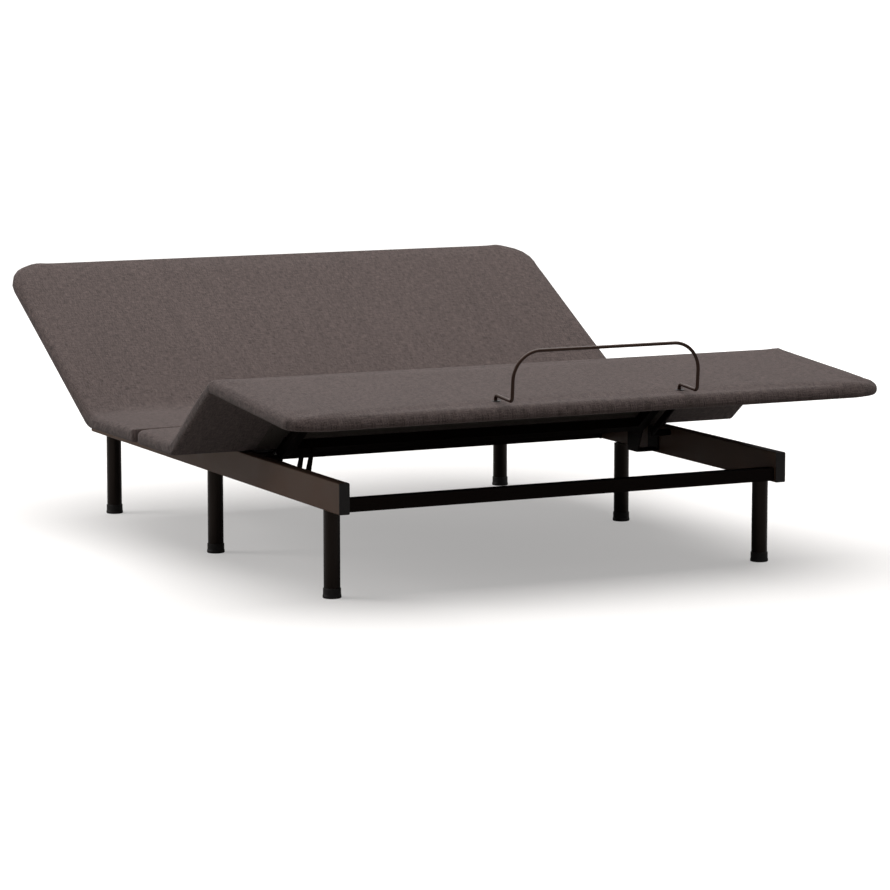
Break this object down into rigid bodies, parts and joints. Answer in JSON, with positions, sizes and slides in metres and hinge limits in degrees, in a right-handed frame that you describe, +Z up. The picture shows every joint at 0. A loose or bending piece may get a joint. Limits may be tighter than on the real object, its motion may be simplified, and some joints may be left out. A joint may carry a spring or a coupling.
{
  "type": "adjustable bed base",
  "caption": "Adjustable bed base: upholstered folding deck with raised head and knees on a steel frame with round legs and a wire mattress retainer.",
  "frame": {"origin": "floor level under the middle of the whole base's bounding box, in the raised rest position", "axes": "+X to the right seen from the foot end, +Y toward the head end, +Z up"},
  "size_m": [1.524, 1.9122, 0.6352],
  "materials": {
    "rail_steel": "satin dark brown powder coat",
    "frame_steel": "satin black powder coat",
    "leg_steel": "satin black powder coat",
    "black_plastic": "moulded black plastic",
    "motor_steel": "semi-gloss black",
    "bright_steel": "zinc plated",
    "plywood": "sanded birch plywood",
    "deck_fabric": "grey-brown woven upholstery fabric over foam",
    "dust_cloth": "black non-woven cloth",
    "felt": "dark felt",
    "retainer_steel": "dark bronze enamel"
  },
  "bodies": {
    "base_frame": {"side_rail_right": "rail_steel", "side_rail_left": "rail_steel", "rail_end_caps": "black_plastic", "foot_crossbar": "frame_steel", "mid_cross_beam": "frame_steel", "head_cross_beam": "frame_steel", "cross_beam_bolts": "bright_steel", "seat_cross_tubes": "frame_steel", "deck_felt_strips": "felt", "leg_foot_left": "leg_steel", "leg_foot_right": "leg_steel", "leg_mid_left": "leg_steel", "leg_mid_right": "leg_steel", "leg_head_left": "leg_steel", "leg_head_right": "leg_steel", "leg_studs": "bright_steel", "leg_nut_plates": "bright_steel", "leg_foot_caps": "black_plastic", "seat_board_front": "plywood", "seat_board_back": "plywood", "seat_pad_front": "deck_fabric", "seat_pad_back": "deck_fabric", "hinge_brackets": "frame_steel", "calf_link_studs": "frame_steel", "head_actuator_bracket": "frame_steel", "thigh_actuator_bracket": "frame_steel", "control_box": "black_plastic", "power_supply": "black_plastic", "power_inlet": "black_plastic"},
    "head_section": {"head_board": "plywood", "head_pad": "deck_fabric", "head_dust_cover": "dust_cloth", "head_side_tubes": "frame_steel", "head_cross_tubes": "frame_steel", "head_hinge_pins": "bright_steel", "head_lift_crank": "frame_steel"},
    "thigh_section": {"thigh_board": "plywood", "thigh_pad": "deck_fabric", "thigh_dust_cover": "dust_cloth", "thigh_side_tubes": "frame_steel", "thigh_cross_tubes": "frame_steel", "thigh_hinge_pins": "bright_steel", "knee_hinge_pins": "bright_steel", "thigh_lift_crank": "frame_steel"},
    "calf_section": {"calf_board": "plywood", "calf_pad": "deck_fabric", "calf_dust_cover": "dust_cloth", "calf_side_tubes": "frame_steel", "calf_cross_tubes": "frame_steel", "retainer_sockets": "black_plastic"},
    "calf_links": {"calf_links": "frame_steel"},
    "retainer": {"mattress_retainer_bar": "retainer_steel"},
    "head_actuator": {"head_actuator_housing": "black_plastic", "head_actuator_motor": "motor_steel"},
    "head_rod": {"head_actuator_rod": "bright_steel"},
    "thigh_actuator": {"thigh_actuator_housing": "black_plastic", "thigh_actuator_motor": "motor_steel"},
    "thigh_rod": {"thigh_actuator_rod": "bright_steel"}
  },
  "joints": [
    {"name": "head_lift", "type": "hinge", "parent": "base_frame", "child": "head_section", "pos_m": [0, 0.34667, 0.265], "axis": [1, 0, 0], "range_deg": [-28.5, 31.5]},
    {"name": "thigh_lift", "type": "hinge", "parent": "base_frame", "child": "thigh_section", "pos_m": [0, -0.21733, 0.265], "axis": [-1, 0, 0], "range_deg": [-35.7, 4.3]},
    {"name": "knee_fold", "type": "hinge", "parent": "thigh_section", "child": "calf_section", "pos_m": [0, -0.45735, 0.43994], "axis": [1, 0, 0], "range_deg": [-40.25, 4.89]},
    {"name": "calf_link_swing", "type": "hinge", "parent": "base_frame", "child": "calf_links", "pos_m": [0, -0.25733, 0.26], "axis": [-1, 0, 0], "range_deg": [-35.16, 4.28]},
    {"name": "head_actuator_tilt", "type": "hinge", "parent": "base_frame", "child": "head_actuator", "pos_m": [0, 0.64867, 0.215], "axis": [1, 0, 0], "range_deg": [-0.4604, 0.5036]},
    {"name": "head_actuator_stroke", "type": "slide", "parent": "head_actuator", "child": "head_rod", "axis": [0, -0.9998, -0.0183], "range_m": [-0.02958, 0.02678]},
    {"name": "thigh_actuator_tilt", "type": "hinge", "parent": "base_frame", "child": "thigh_actuator", "pos_m": [-0.43, 0.08517, 0.215], "axis": [1, 0, 0], "range_deg": [-0.4498, 0.0982]},
    {"name": "thigh_actuator_stroke", "type": "slide", "parent": "thigh_actuator", "child": "thigh_rod", "axis": [0, -0.9999, -0.0161], "range_m": [-0.03449, 0.00433]},
    {"name": "retainer_lift_out", "type": "slide", "parent": "calf_section", "child": "retainer", "axis": [0, -0.0785, 0.9969], "range_m": [0, 0.03]}
  ],
  "couplings": [
    {"joint": "knee_fold", "follows": "thigh_lift", "ratio": 1.126},
    {"joint": "calf_link_swing", "follows": "thigh_lift", "ratio": 0.98341},
    {"joint": "thigh_actuator_tilt", "follows": "thigh_lift", "ratio": 0.0112},
    {"joint": "thigh_actuator_stroke", "follows": "thigh_lift", "m_per_rad": 0.05504},
    {"joint": "head_actuator_tilt", "follows": "head_lift", "ratio": 0.0144},
    {"joint": "head_actuator_stroke", "follows": "head_lift", "m_per_rad": -0.05344}
  ]
}
